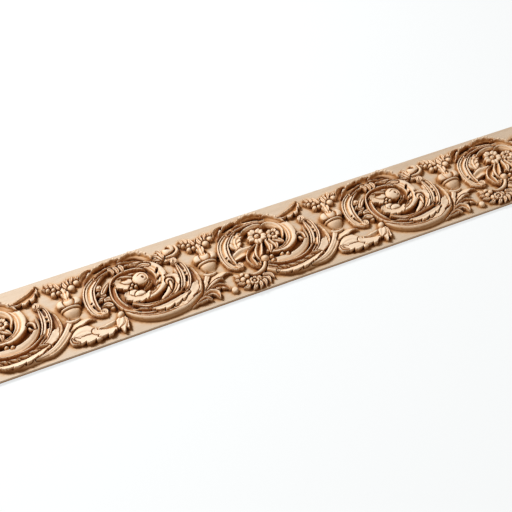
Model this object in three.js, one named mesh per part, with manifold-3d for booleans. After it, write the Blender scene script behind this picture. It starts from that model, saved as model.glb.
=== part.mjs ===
import * as THREE from "three";
import { mergeVertices } from "three/addons/utils/BufferGeometryUtils.js";
import Module from "manifold-3d";

// An acanthus leaf moulding: a long flat board with a scrolling acanthus frieze carved on its face.
// Millimetres. X runs along the moulding, Y across it from the near edge to the far edge, and Z up out of
// the carved face. The origin is the middle of the flat back.

// Driving dimensions
const boardLength = 755;
const boardWidth = 120;
const boardThickness = 4;
const scrollPitch = 169.5;
const firstUrn = 106.5;
const friezeShift = 3;
const reliefHeight = 9;
const budRise = 1.5;
const slotDepth = 6;
const rootDepth = 1.5;
const domeSides = 6;

// The two scrolls of the frieze take turns along the board, a bud scroll and then a flower scroll.
const scrollOrder = ["flower", "bud", "flower", "bud", "flower"];

const wasm = await Module();
wasm.setup();

// Booleans between closed three.js geometries

function toSolid(geometry) {
  const bare = geometry.index ? geometry.toNonIndexed() : geometry.clone();
  bare.deleteAttribute("normal");
  bare.deleteAttribute("uv");
  const merged = mergeVertices(bare, 1e-4);
  return new wasm.Manifold(new wasm.Mesh({
    numProp: 3,
    vertProperties: new Float32Array(merged.attributes.position.array),
    triVerts: new Uint32Array(merged.index.array),
  }));
}

function toGeometry(solid) {
  const mesh = solid.getMesh();
  const geometry = new THREE.BufferGeometry();
  geometry.setAttribute("position", new THREE.BufferAttribute(new Float32Array(mesh.vertProperties), 3));
  geometry.setIndex(new THREE.BufferAttribute(new Uint32Array(mesh.triVerts), 1));
  return geometry;
}

function joinAll(geometries) {
  let solids = geometries.map(toSolid);
  while (solids.length > 1) {
    const pairs = [];
    for (let i = 0; i < solids.length; i += 2) {
      pairs.push(i + 1 < solids.length ? solids[i].add(solids[i + 1]) : solids[i]);
    }
    solids = pairs;
  }
  return solids[0];
}

// Places on a scroll: u runs along the moulding from the scroll's urn, v across it from the frieze's near
// edge, both as shares of the board's width. Heights are shares of the relief height above the ground. The
// whole frieze stands a little nearer to the board's far edge.

function place([u, v]) {
  return new THREE.Vector3(u * boardWidth, (v - 0.5) * boardWidth + friezeShift, 0);
}

function spread(values, t) {
  const at = t * (values.length - 1);
  const low = Math.min(Math.floor(at), values.length - 2);
  return values[low] + (values[low + 1] - values[low]) * (at - low);
}

// Sections of the swept forms, from one foot over the top to the other: [across, up]

const channelled = [[-1, 0], [-0.85, 1], [0, 0.62], [0.85, 1], [1, 0]];
const rounded = [[-1, 0], [-0.5, 1], [0.5, 1], [1, 0]];
const ridged = [[-1, 0], [-0.12, 1], [0.12, 1], [1, 0]];
const cupped = [[-1, 0], [-0.6, 0.5], [0.85, 1], [1, 0]];

// A closed strip whose section rides along a curve through the given points. Its lobes are scallops of the
// outline, on both sides or only where the section's across has the sign of lobeSide.
function sweep({ through, widths, heights = [1, 1], section = rounded, stations = 8, lobes = 0, lobeSide = 0 }) {
  const notchWidth = 0.66;
  const notchHeight = 0.86;
  const curve = new THREE.CatmullRomCurve3(through.map(place), false, "centripetal");
  const steps = lobes > 0 ? lobes * 2 : stations;
  const corners = [];
  for (let i = 0; i <= steps; i += 1) {
    const t = i / steps;
    const isNotch = lobes > 0 && i % 2 === 0 && i > 0 && i < steps;
    const middle = curve.getPointAt(t);
    const along = curve.getTangentAt(t);
    const across = new THREE.Vector3(-along.y, along.x, 0);
    const half = spread(widths, t) * boardWidth;
    const top = spread(heights, t) * reliefHeight;
    for (const [side, up] of section) {
      const cutBack = isNotch && side * lobeSide >= 0;
      const corner = middle.clone().addScaledVector(across, side * half * (cutBack ? notchWidth : 1));
      corner.z = boardThickness + (up > 0 ? up * top * (cutBack ? notchHeight : 1) : -rootDepth);
      corners.push(corner);
    }
  }
  return skin(corners, section.length);
}

// Closes equal rings of corners, laid one after another, into one body with its faces pointing out
function skin(corners, ring) {
  const faces = [];
  const last = corners.length - ring;
  for (let i = 0; i < last; i += ring) {
    for (let j = 0; j < ring; j += 1) {
      const a = i + j;
      const b = i + (j + 1) % ring;
      faces.push(a, a + ring, b, b, a + ring, b + ring);
    }
  }
  for (let j = 1; j < ring - 1; j += 1) {
    faces.push(0, j, j + 1, last, last + j + 1, last + j);
  }
  const geometry = new THREE.BufferGeometry().setFromPoints(corners);
  geometry.setIndex(faces);
  return geometry;
}

// A low dome on the ground: a berry, a button or a bud, or an open flower where it has petals
function dome({ at, radius, height = 1, long = 1, turn = 0, petals = 0 }) {
  const petalDepth = 0.2;
  const r = radius * boardWidth;
  const h = height * reliefHeight;
  const brow = petals > 0 ? [r, h] : [r * 0.8, h * 0.8];
  const middle = petals > 0 ? h * 0.6 : h;
  const profile = [[0, -rootDepth], [r, -rootDepth], brow, [0, middle]];
  const sides = petals > 0 ? petals * 3 : domeSides;
  const geometry = new THREE.LatheGeometry(profile.map(([x, y]) => new THREE.Vector2(x, y)), sides);
  geometry.rotateX(Math.PI / 2);
  const corners = geometry.attributes.position;
  for (let i = 0; petals > 0 && i < corners.count; i += 1) {
    const swell = 1 - petalDepth * Math.cos(petals * Math.atan2(corners.getX(i), corners.getY(i)));
    corners.setXY(i, corners.getX(i) * swell, corners.getY(i) * swell);
  }
  geometry.scale(long, 1, 1);
  geometry.rotateZ(turn);
  const spot = place(at);
  geometry.translate(spot.x, spot.y, boardThickness);
  return geometry;
}

// A straight slot cut down into the carving, from one place to another
function cut({ from, to, width }) {
  const a = place(from);
  const b = place(to);
  const geometry = new THREE.BoxGeometry(a.distanceTo(b), width * boardWidth, slotDepth);
  geometry.rotateZ(Math.atan2(b.y - a.y, b.x - a.x));
  geometry.translate((a.x + b.x) / 2, (a.y + b.y) / 2, boardThickness + reliefHeight - slotDepth / 2);
  return geometry;
}

// The urn between two scrolls: a turned cup, half sunk in the ground, with three tulip lobes in its mouth
function urn() {
  const lip = 0.1;
  const profile = [[0, 0.3], [0.04, 0.3], [0.05, 0.37], [0.085, 0.42], [lip, 0.49], [0, 0.5]];
  const cup = new THREE.LatheGeometry(
    profile.map(([r, v]) => new THREE.Vector2(r * boardWidth, (v - 0.5) * boardWidth)),
    domeSides,
  );
  cup.scale(1, 1, reliefHeight * 0.85 / (lip * boardWidth));
  cup.translate(0, friezeShift, boardThickness);
  const lobes = [-1, 0, 1].map((side) => dome({ at: [side * 0.07, 0.545], radius: 0.052, height: 0.8, long: 0.85 }));
  return [cup, ...lobes];
}

// The spray of berries and leaves that stands in the urn
function bouquet() {
  const berries = [[-0.095, 0.72], [-0.095, 0.785], [0.087, 0.732], [0.15, 0.775]];
  const leaves = [
    { through: [[0.0, 0.62], [0.01, 0.72], [-0.02, 0.82]], widths: [0.035, 0.03, 0.01], heights: [0.8, 0.7] },
    { through: [[-0.09, 0.8], [-0.13, 0.85], [-0.15, 0.905]], widths: [0.015, 0.032, 0.006], heights: [0.6, 0.5] },
    { through: [[0.03, 0.74], [0.06, 0.83], [0.08, 0.93]], widths: [0.02, 0.045, 0.012], heights: [0.7, 0.6] },
    { through: [[0.1, 0.8], [0.14, 0.84], [0.165, 0.9]], widths: [0.015, 0.032, 0.008], heights: [0.7, 0.5] },
  ];
  return [
    ...berries.map((at) => dome({ at, radius: 0.036, height: 0.7 })),
    ...leaves.map((leaf) => sweep({ ...leaf, section: ridged, stations: 2 })),
  ];
}

// The stem that runs under a scroll, from the sheath at the next urn to the joint at its lower left
function stem() {
  return sweep({
    through: [[1.215, 0.57], [1.262, 0.46], [1.27, 0.32], [1.21, 0.19], [1.08, 0.1], [0.92, 0.06],
      [0.76, 0.06], [0.62, 0.105], [0.52, 0.18], [0.46, 0.27]],
    widths: [0.006, 0.032, 0.045, 0.055, 0.05, 0.04, 0.034, 0.034, 0.032, 0.02],
    heights: [0.5, 0.65, 0.7, 0.75, 0.75, 0.75, 0.75, 0.75, 0.75, 0.7],
    stations: 10,
  });
}

// The stem sweeps up into a sheath, which holds the urn's foot and throws out a tongue to the right.
function sheath() {
  return [
    sweep({
      through: [[-0.22, 0.11], [-0.12, 0.21], [-0.045, 0.31], [-0.015, 0.36]],
      widths: [0.05, 0.06, 0.052, 0.046],
      heights: [0.65, 0.55],
      stations: 3,
    }),
    sweep({
      through: [[-0.06, 0.24], [0.03, 0.29], [0.11, 0.305], [0.18, 0.28]],
      widths: [0.02, 0.045, 0.028, 0.006],
      heights: [0.6, 0.52],
      stations: 3,
    }),
  ];
}

// The outer arm starts at the left button, runs over the top and winds in on the right.
function outerArm(lastPoints) {
  return sweep({
    through: [[0.285, 0.3], [0.225, 0.33], [0.197, 0.42], [0.197, 0.53], [0.23, 0.63], [0.31, 0.72], [0.42, 0.785],
      [0.56, 0.803], [0.7, 0.792], [0.82, 0.735], [0.905, 0.645], ...lastPoints],
    widths: [0.028, 0.056, 0.057, 0.057, 0.046, 0.036, 0.033, 0.035, 0.042, 0.047, 0.047, 0.042, 0.035, 0.015],
    heights: [0.5, 0.5, 0.6, 0.7, 0.75, 0.8, 0.85, 0.9],
    section: channelled,
    stations: 13,
  });
}

// The inner arm starts at the right button, runs under the scroll and winds in on the left.
function innerArm(lastPoints, lastWidths) {
  return sweep({
    through: [[1.105, 0.635], [1.15, 0.6], [1.165, 0.5], [1.15, 0.38], [1.085, 0.255], [0.97, 0.17],
      [0.83, 0.137], [0.68, 0.145], [0.56, 0.21], ...lastPoints],
    widths: [0.022, 0.046, 0.048, 0.042, 0.036, 0.034, 0.032, ...lastWidths],
    heights: [0.5, 0.5, 0.6, 0.65, 0.7, 0.75, 0.85, 0.95],
    section: channelled,
    stations: lastPoints.length + 5,
  });
}

// The crest is one long acanthus leaf that lies over the top of the scroll, with its lobes to the far edge.
function crest(through) {
  return sweep({
    through,
    widths: [0.015, 0.042, 0.042, 0.042, 0.04, 0.015],
    heights: [0.7, 0.9, 1, 1, 0.9, 0.7],
    section: cupped,
    lobes: 5,
    lobeSide: 1,
  });
}

// What both scrolls share, besides their arms and stem
function clasps() {
  return [
    stem(),
    ...sheath(),
    dome({ at: [0.292, 0.322], radius: 0.037, height: 0.6 }),
    dome({ at: [1.12, 0.655], radius: 0.037, height: 0.6 }),
    sweep({
      through: [[0.185, 0.79], [0.235, 0.85], [0.33, 0.88]],
      widths: [0.016, 0.024, 0.006],
      heights: [0.6, 0.6],
      section: ridged,
      stations: 3,
    }),
  ];
}

function claspCuts() {
  return [
    cut({ from: [0.213, 0.425], to: [0.243, 0.352], width: 0.02 }),
    cut({ from: [1.152, 0.6], to: [1.168, 0.522], width: 0.02 }),
    cut({ from: [1.17, 0.42], to: [1.153, 0.365], width: 0.02 }),
  ];
}

// The scroll that ends in a bud
function budScroll() {
  const bud = [0.75, 0.525];
  return [
    ...clasps(),
    outerArm([[0.94, 0.53], [0.91, 0.42], [0.82, 0.338], [0.7, 0.308], [0.6, 0.34]]),
    innerArm(
      [[0.475, 0.29], [0.435, 0.41], [0.445, 0.54], [0.5, 0.65], [0.6, 0.708], [0.72, 0.7], [0.81, 0.64], [0.835, 0.55],
        [0.79, 0.455], [0.7, 0.43]],
      [0.033, 0.033, 0.033, 0.034, 0.034, 0.034, 0.035, 0.03, 0.022, 0.01],
    ),
    crest([[0.25, 0.76], [0.38, 0.83], [0.54, 0.855], [0.7, 0.866], [0.84, 0.845], [0.95, 0.76]]),
    dome({ at: bud, radius: 0.056, height: 1 + budRise / reliefHeight }),
    dome({ at: [0.62, 0.5], radius: 0.11, height: 0.85, long: 1.15, petals: 5 }),
    // the leaf between the two arms on the left
    sweep({
      through: [[0.4, 0.33], [0.35, 0.4], [0.335, 0.51], [0.36, 0.63]],
      widths: [0.03, 0.06, 0.06, 0.03],
      heights: [0.8, 0.85],
      section: ridged,
      lobes: 3,
    }),
    // the branch between them at the bottom, and the leaf on it
    sweep({
      through: [[1.085, 0.53], [1.07, 0.4], [1, 0.28], [0.87, 0.212], [0.7, 0.222], [0.58, 0.29]],
      widths: [0.012, 0.022, 0.026, 0.028, 0.026, 0.02],
      heights: [0.85, 0.8],
      section: ridged,
      stations: 5,
    }),
    sweep({
      through: [[0.84, 0.24], [0.94, 0.29], [1.0, 0.36], [1.03, 0.46]],
      widths: [0.015, 0.045, 0.05, 0.025],
      heights: [0.6, 0.85],
      section: ridged,
      lobes: 3,
    }),
    // the volute in the upper right corner, and the leaf under it
    sweep({
      through: [[0.985, 0.63], [1.0, 0.72], [1.04, 0.81], [1.11, 0.85], [1.165, 0.81], [1.15, 0.76], [1.11, 0.77]],
      widths: [0.02, 0.03, 0.028, 0.026, 0.024, 0.022, 0.016],
      heights: [0.8, 0.9],
      stations: 6,
    }),
    sweep({
      through: [[1.0, 0.68], [1.1, 0.7], [1.2, 0.74]],
      widths: [0.03, 0.035, 0.008],
      heights: [0.8, 0.5],
      section: ridged,
      stations: 3,
    }),
    // the knuckle at the lower left, the two leaves that it throws out, and the broad leaf under the urn
    dome({ at: [0.41, 0.21], radius: 0.034, height: 0.8 }),
    sweep({
      through: [[0.4, 0.19], [0.33, 0.13], [0.24, 0.115], [0.15, 0.14]],
      widths: [0.02, 0.055, 0.06, 0.03],
      heights: [0.75, 0.6],
      section: ridged,
      lobes: 3,
    }),
    sweep({
      through: [[0.44, 0.19], [0.42, 0.11], [0.385, 0.03]],
      widths: [0.02, 0.045, 0.01],
      heights: [0.7, 0.5],
      section: ridged,
      stations: 3,
    }),
    sweep({
      through: [[-0.09, 0.12], [0, 0.155], [0.08, 0.135], [0.16, 0.08]],
      widths: [0.03, 0.065, 0.09, 0.04],
      heights: [0.55, 0.65],
      lobes: 2,
      lobeSide: -1,
    }),
  ];
}

function budCuts() {
  return [
    cut({ from: [0.51, 0.265], to: [0.6, 0.165], width: 0.02 }),
    cut({ from: [1.035, 0.205], to: [1.085, 0.255], width: 0.018 }),
  ];
}

// The scroll that ends in a flower, with a looped stem of fruit under it
function flowerScroll() {
  const heart = [0.6, 0.565];
  const fruit = [[0.24, 0.17, 0.05], [0.31, 0.075, 0.062], [0.42, 0.075, 0.045]];
  return [
    ...clasps(),
    outerArm([[0.935, 0.53], [0.9, 0.42], [0.8, 0.345], [0.68, 0.34], [0.62, 0.37]]),
    innerArm([[0.5, 0.26]], [0.03, 0.02]),
    crest([[0.24, 0.74], [0.36, 0.815], [0.5, 0.855], [0.65, 0.865], [0.79, 0.82], [0.91, 0.72]]),
    dome({ at: heart, radius: 0.095, height: 0.9, petals: 5 }),
    dome({ at: heart, radius: 0.03, height: 1 + budRise / reliefHeight }),
    // the hood over the flower
    sweep({
      through: [[0.42, 0.7], [0.52, 0.725], [0.64, 0.72], [0.75, 0.685], [0.825, 0.61], [0.835, 0.5]],
      widths: [0.015, 0.03, 0.03, 0.034, 0.032, 0.014],
      section: cupped,
      stations: 6,
    }),
    // the branch under it, and the leaf on the branch
    sweep({
      through: [[1.085, 0.52], [1.065, 0.4], [0.99, 0.29], [0.86, 0.232], [0.7, 0.24], [0.58, 0.27]],
      widths: [0.012, 0.026, 0.032, 0.034, 0.034, 0.02],
      heights: [0.9, 0.8],
      stations: 6,
    }),
    sweep({
      through: [[0.88, 0.3], [0.96, 0.35], [1.01, 0.45]],
      widths: [0.02, 0.05, 0.035],
      heights: [0.7, 0.9],
      section: ridged,
      lobes: 2,
    }),
    // the broad leaf on the left, and the two long petals that hang from the flower
    sweep({
      through: [[0.35, 0.43], [0.33, 0.53], [0.37, 0.63], [0.47, 0.69]],
      widths: [0.03, 0.06, 0.05, 0.02],
      heights: [0.85, 0.8],
      section: ridged,
      lobes: 3,
    }),
    sweep({
      through: [[0.55, 0.55], [0.46, 0.5], [0.42, 0.4], [0.43, 0.26]],
      widths: [0.02, 0.04, 0.045, 0.01],
      heights: [0.9, 0.7],
      section: ridged,
      stations: 4,
    }),
    sweep({
      through: [[0.6, 0.52], [0.53, 0.42], [0.49, 0.32]],
      widths: [0.02, 0.04, 0.01],
      heights: [0.9, 0.7],
      section: ridged,
      stations: 3,
    }),
    // the looped stem and its fruit
    dome({ at: [0.54, 0.29], radius: 0.045, height: 0.95 }),
    sweep({
      through: [[0.53, 0.27], [0.47, 0.19], [0.39, 0.155], [0.31, 0.19]],
      widths: [0.02, 0.018, 0.018, 0.014],
      heights: [0.8, 0.8],
      stations: 4,
    }),
    ...fruit.map(([u, v, radius]) => dome({ at: [u, v], radius, height: 0.7 })),
    // the leaf that flies to the upper right corner
    sweep({
      through: [[0.93, 0.74], [1.01, 0.735], [1.11, 0.755], [1.18, 0.87]],
      widths: [0.02, 0.05, 0.045, 0.01],
      heights: [0.9, 0.6],
      section: ridged,
      lobes: 3,
    }),
    // the fronds under the urn
    sweep({
      through: [[-0.14, 0.1], [-0.05, 0.19], [0.06, 0.2], [0.15, 0.15]],
      widths: [0.02, 0.03, 0.032, 0.014],
      heights: [0.6, 0.6],
      section: ridged,
      stations: 4,
    }),
    sweep({
      through: [[-0.15, 0.08], [-0.06, 0.12], [0.03, 0.11], [0.09, 0.06]],
      widths: [0.02, 0.028, 0.03, 0.014],
      heights: [0.6, 0.55],
      section: ridged,
      stations: 4,
    }),
    dome({ at: [-0.075, 0.055], radius: 0.036, height: 0.5, long: 1.4 }),
    dome({ at: [0.13, 0.05], radius: 0.034, height: 0.6 }),
  ];
}

function flowerCuts() {
  return [cut({ from: [0.815, 0.6], to: [0.825, 0.545], width: 0.018 })];
}

const scrolls = {
  bud: { forms: budScroll, cuts: budCuts },
  flower: { forms: flowerScroll, cuts: flowerCuts },
};

// One scroll with its urn, carved whole and then repeated along the board
function carve(kind) {
  const { forms, cuts } = scrolls[kind];
  const raised = joinAll([...forms(), ...urn(), ...bouquet()]);
  return toGeometry(raised.subtract(joinAll([...claspCuts(), ...cuts()])));
}

// The frieze is trimmed square at the board's ends, and only its roots reach into the board.
function moulding() {
  const carved = { bud: carve("bud"), flower: carve("flower") };
  const firstX = firstUrn - boardLength / 2;
  const raised = scrollOrder.map((kind, i) => carved[kind].clone().translate(firstX + (i - 1) * scrollPitch, 0, 0));
  const blockHeight = reliefHeight + 2 * budRise;
  const block = new THREE.BoxGeometry(boardLength, boardWidth, blockHeight);
  block.translate(0, 0, boardThickness - rootDepth / 2 + blockHeight / 2);
  const board = new THREE.BoxGeometry(boardLength, boardWidth, boardThickness);
  board.translate(0, 0, boardThickness / 2);
  const frieze = joinAll(raised).intersect(toSolid(block));
  return toGeometry(toSolid(board).add(frieze));
}

const wood = new THREE.MeshStandardMaterial({ color: 0xc69c78, roughness: 0.75, metalness: 0 });
const acanthusMoulding = new THREE.Mesh(moulding(), wood);
acanthusMoulding.name = "acanthus_moulding";

const group = new THREE.Group();
group.add(acanthusMoulding);

export default group;
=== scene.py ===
import math

import bpy
import numpy as np
from mathutils import Matrix, Vector


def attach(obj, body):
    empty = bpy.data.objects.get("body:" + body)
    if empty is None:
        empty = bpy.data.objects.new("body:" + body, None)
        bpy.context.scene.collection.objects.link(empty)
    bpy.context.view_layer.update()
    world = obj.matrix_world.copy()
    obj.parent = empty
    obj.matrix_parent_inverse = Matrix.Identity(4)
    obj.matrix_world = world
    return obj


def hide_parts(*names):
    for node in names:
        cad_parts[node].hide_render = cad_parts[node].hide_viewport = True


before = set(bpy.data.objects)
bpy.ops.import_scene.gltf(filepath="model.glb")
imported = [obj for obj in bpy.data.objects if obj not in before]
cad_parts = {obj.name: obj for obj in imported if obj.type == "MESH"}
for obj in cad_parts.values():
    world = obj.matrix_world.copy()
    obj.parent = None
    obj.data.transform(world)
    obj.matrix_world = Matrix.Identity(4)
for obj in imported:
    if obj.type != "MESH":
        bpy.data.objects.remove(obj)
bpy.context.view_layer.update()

# The moulding: one strip of pale wood with a scrolling acanthus frieze carved on its face, fixed by its flat back.
# The face is a field of heights, carved form by form over one repeat of the frieze and then laid end to end
# along the board. Places are shares of the board's width from a scroll's urn, and heights are millimetres.
BOARD_LENGTH = 755.0
BOARD_WIDTH = 120.0
BOARD_THICKNESS = 4.0
SCROLL_PITCH = 169.5
FIRST_URN = 106.5
FRIEZE_SHIFT = 3.0
CELL = 0.5
TOP_LIMIT = 10.4
SPAN_STEPS = 12
LINE_STEPS = 72
CELLS_AT_ONCE = 20000
MARGIN = 2

rows = round(BOARD_WIDTH / CELL) + 1
columns = round(2 * SCROLL_PITCH / CELL)
relief = np.zeros((rows, columns))


def eased(x):
    """From 0 to 1 as x does, with a soft start and a soft end."""
    x = np.clip(x, 0, 1)
    return x * x * (3 - 2 * x)


def spread(values, t):
    """The values that stand evenly along a form, read at t."""
    values = np.atleast_1d(values)
    return np.interp(t, np.linspace(0, 1, len(values)), values)


def shaped(pairs, s):
    """Share of the height across a form, eased from one listed place to the next."""
    places, shares = np.array(pairs, float).T
    k = np.clip(np.searchsorted(places, s) - 1, 0, len(places) - 2)
    f = eased((s - places[k]) / (places[k + 1] - places[k]))
    return shares[k] + (shares[k + 1] - shares[k]) * f


def smooth_line(points):
    """A smooth curve in millimetres through places, as evenly spaced points."""
    p = np.array(points, float) * BOARD_WIDTH
    p = np.vstack([2 * p[0] - p[1], p, 2 * p[-1] - p[-2]])
    t = np.linspace(0, 1, SPAN_STEPS, endpoint=False)[:, None]
    spans = []
    for a, b, c, d in zip(p, p[1:], p[2:], p[3:]):
        spans.append(0.5 * (
            2 * b + (c - a) * t + (2 * a - 5 * b + 4 * c - d) * t ** 2 + (3 * b - a - 3 * c + d) * t ** 3
        ))
    line = np.vstack(spans + [p[-2:-1]])
    run = np.concatenate([[0], np.cumsum(np.hypot(*np.diff(line, axis=0).T))])
    at = np.linspace(0, run[-1], LINE_STEPS)
    return np.stack([np.interp(at, run, line[:, 0]), np.interp(at, run, line[:, 1])], 1)


def window(low, high):
    """The part of the field between two corners of the scroll that is being carved: its rows and columns, and
    the places of its cells."""
    first_row = max(0, math.floor((low[1] + FRIEZE_SHIFT) / CELL))
    last_row = min(rows - 1, math.ceil((high[1] + FRIEZE_SHIFT) / CELL))
    j = np.arange(first_row, last_row + 1)
    i = np.arange(math.floor(low[0] / CELL), math.ceil(high[0] / CELL) + 1)
    x, y = np.meshgrid(i * CELL, j * CELL - FRIEZE_SHIFT)
    shift = round(origin * SCROLL_PITCH / CELL)
    return np.ix_(j, (i + shift) % columns), x, y


def along(points, reach):
    """For each cell near a curve: its share of the way along, and its distance across, with the left side plus."""
    line = smooth_line(points)
    spot, x, y = window(line.min(0) - reach, line.max(0) + reach)
    place = np.stack([x.ravel(), y.ravel()], 1)
    step = np.diff(line, axis=0)
    share = np.empty(len(place))
    across = np.empty(len(place))
    for k in range(0, len(place), CELLS_AT_ONCE):
        rel = place[k:k + CELLS_AT_ONCE, None] - line[None, :-1]
        f = np.clip((rel * step).sum(-1) / (step ** 2).sum(-1), 0, 1)
        off = rel - f[..., None] * step
        gap = (off ** 2).sum(-1)
        near = gap.argmin(1)
        pick = np.arange(len(near))
        side = step[near, 0] * off[pick, near, 1] - step[near, 1] * off[pick, near, 0]
        share[k:k + CELLS_AT_ONCE] = (near + f[pick, near]) / len(step)
        across[k:k + CELLS_AT_ONCE] = np.sqrt(gap[pick, near]) * np.where(side < 0, -1, 1)
    return spot, share.reshape(x.shape), across.reshape(x.shape)


DITCH = 1.8
DITCH_MIDDLE, DITCH_HALF = 0.55, 0.8
WALL_WIDTH, WALL_OUTSIDE = 0.9, 0.4


def lay(spot, top, inside, ditch=DITCH):
    """Lays a form over the field: its top inside its edge, a steep wall, and a ditch cut into what it lies on."""
    field = relief[spot]
    trough = eased(1 - np.abs(inside + DITCH_MIDDLE) / DITCH_HALF)
    field = field - trough * np.clip(field - np.clip(top - ditch, 0, None), 0, None)
    cover = eased(inside / WALL_WIDTH + WALL_OUTSIDE)
    relief[spot] = field * (1 - cover) + np.clip(top, 0, TOP_LIMIT) * cover


BAND_LEAN, LEAF_LEAN = 0.5, 0.55


def strap(points, widths, heights, section, ditch=DITCH, lobes=0, notch=0.3):
    """A band that keeps its section along a curve. Its left edge can be cut into lobes that lean forward."""
    widths = np.array(widths) * BOARD_WIDTH
    spot, t, across = along(points, widths.max() + MARGIN)
    half = spread(widths, t)
    top = spread(heights, t)
    if lobes:
        outer = np.clip(across / half, 0, 1)
        f = (lobes * t - BAND_LEAN * outer) % 1
        bay = np.abs(2 * f - 1)
        half = half * (1 - notch * bay ** 2.5 * (across > 0))
        top = top * (1 - 0.3 * bay ** 4 * outer ** 0.7 - 0.08 * np.exp(-((f - 0.55) / 0.1) ** 2) * outer)
    lay(spot, top * shaped(section, across / half), half - np.abs(across), ditch)


def acanthus(points, widths, heights, lobes, notch=0.36, teeth=3):
    """A carved leaf along a curve, with toothed lobes that lean forward on both sides of a spine."""
    widths = np.array(widths) * BOARD_WIDTH
    spot, t, across = along(points, widths.max() + MARGIN)
    half = spread(widths, t)
    s = np.clip(np.abs(across) / half, 0, 1.2)
    f = (lobes * t - LEAF_LEAN * s) % 1
    bay = np.abs(2 * f - 1)
    tooth = np.abs(2 * ((f * teeth) % 1) - 1)
    limit = half * (1 - notch * bay ** 2.4 - 0.07 * tooth * (1 - bay))
    r = np.clip(np.abs(across) / limit, 0, 1)
    finger = 1 - 0.42 * bay ** 3 * r ** 0.6 - 0.1 * np.exp(-((f - 0.5) / 0.09) ** 2) * r
    bowl = 0.75 + 0.25 * r ** 1.6
    spine = 0.12 * np.exp(-(across / 0.9) ** 2) - 0.1 * np.exp(-((np.abs(across) - 2.0) / 0.8) ** 2)
    fall = 1 - 0.25 * np.clip(r - 0.82, 0, 1) / 0.18
    lay(spot, spread(heights, t) * (finger * bowl * fall + spine), limit - np.abs(across))


def bead(at, radius, height, long=1.0, turn=0.0, ring=0.0, eye=0.0, ditch=DITCH, base=0.0, sharp=2.0):
    """A dome that stands on its base: a berry, a bud, or a button with a ring and an eye."""
    r = radius * BOARD_WIDTH
    centre = np.array(at) * BOARD_WIDTH
    spot, x, y = window(centre - r * max(long, 1) - MARGIN, centre + r * max(long, 1) + MARGIN)
    dx, dy = x - centre[0], y - centre[1]
    a = math.radians(turn)
    px = (dx * math.cos(a) + dy * math.sin(a)) / long
    py = -dx * math.sin(a) + dy * math.cos(a)
    away = np.hypot(px, py) / r
    top = base + (height - base) * np.sqrt(np.clip(1 - np.clip(away, 0, 1) ** sharp * 0.85, 0, 1))
    if ring:
        top = top - ring * np.exp(-((away - 0.62) / 0.13) ** 2)
    if eye:
        top = top - eye * np.exp(-(away / 0.24) ** 2)
    lay(spot, top, (1 - away) * r, ditch)


PETALS = 5


def rosette(at, radius, height, turn):
    """An open flower with cupped petals, each with a fold down its middle and a ruffled edge."""
    r = radius * BOARD_WIDTH
    centre = np.array(at) * BOARD_WIDTH
    spot, x, y = window(centre - r - MARGIN, centre + r + MARGIN)
    dx, dy = x - centre[0], y - centre[1]
    away = np.hypot(dx, dy)
    turned = (np.arctan2(dy, dx) - math.radians(turn)) * PETALS / (2 * math.pi)
    f = turned - np.floor(turned)
    bay = np.abs(2 * f - 1)
    limit = r * (1 - 0.24 * bay ** 2.2 + 0.05 * np.cos(6 * math.pi * f) * (1 - bay))
    s = np.clip(away / limit, 0, 1)
    top = height * (1 - 0.4 * (1 - s) ** 1.5 - 0.22 * bay ** 6 - 0.12 * np.exp(-((f - 0.5) / 0.07) ** 2) * s)
    top = top * (1 - 0.22 * np.clip(s - 0.8, 0, 1) / 0.2)
    lay(spot, top, limit - away)


CUT_WALL = 0.8
CUT_FLOOR = 0.2


def cut(spot, inside, depth):
    """Cuts a form down into the field with steep walls, to a floor just above the ground."""
    field = relief[spot]
    relief[spot] = np.clip(field - depth * eased(inside / CUT_WALL + 0.5), np.minimum(field, CUT_FLOOR), None)


def gouge(a, b, width, depth):
    """A slot with round ends cut down into the carving, or a hole where both ends are one place."""
    a, b = np.array(a) * BOARD_WIDTH, np.array(b) * BOARD_WIDTH
    r = width * BOARD_WIDTH / 2
    spot, x, y = window(np.minimum(a, b) - r - MARGIN, np.maximum(a, b) + r + MARGIN)
    run = b - a
    f = np.clip(((x - a[0]) * run[0] + (y - a[1]) * run[1]) / max(run @ run, 1e-9), 0, 1)
    away = np.hypot(x - a[0] - f * run[0], y - a[1] - f * run[1])
    cut(spot, r - away, depth)


def slit(points, width, depth):
    """A gouge along a curve, tapering to both ends."""
    spot, t, across = along(points, width * BOARD_WIDTH + MARGIN)
    half = width * BOARD_WIDTH / 2 * np.sqrt(np.clip(np.sin(math.pi * np.clip(t, 0.02, 0.98)), 0, 1))
    cut(spot, half - np.abs(across), depth)


def fingers(curves, width, heights, ditch, section):
    """The separate lobes of a leaf, each tapering along its own curve."""
    for points in curves:
        strap(points, [width * 0.7, width, width * 0.8, width * 0.25], heights, section, ditch=ditch)


# Sections of the bands: shares of the height, from the right edge at -1 to the left edge at +1 as the band runs
CLASP = [
    (-1, 0.75), (-0.9, 1.0), (-0.74, 1.0), (-0.66, 0.5), (-0.54, 0.5), (-0.46, 0.94), (-0.16, 0.9), (-0.04, 0.62),
    (0.22, 0.6), (0.34, 0.84), (0.54, 0.86), (0.6, 0.55), (0.7, 0.55), (0.76, 1.02), (0.9, 1.04), (1, 0.75),
]
ARM = [
    (-1, 0.72), (-0.86, 1.0), (-0.66, 1.0), (-0.5, 0.5), (-0.1, 0.4), (0.3, 0.44), (0.5, 0.5), (0.68, 1.0),
    (0.88, 1.0), (1, 0.72),
]
FLUTED = [(-1, 0.7), (-0.8, 0.96), (-0.55, 0.76), (-0.3, 0.97), (-0.02, 0.78), (0.25, 1.0), (0.75, 1.0), (1, 0.72)]
STEM = [
    (-1, 0.75), (-0.85, 1.0), (-0.62, 0.66), (-0.38, 1.0), (-0.14, 0.76), (0.12, 1.0), (0.45, 0.86), (0.75, 0.5),
    (1, 0.15),
]
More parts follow.
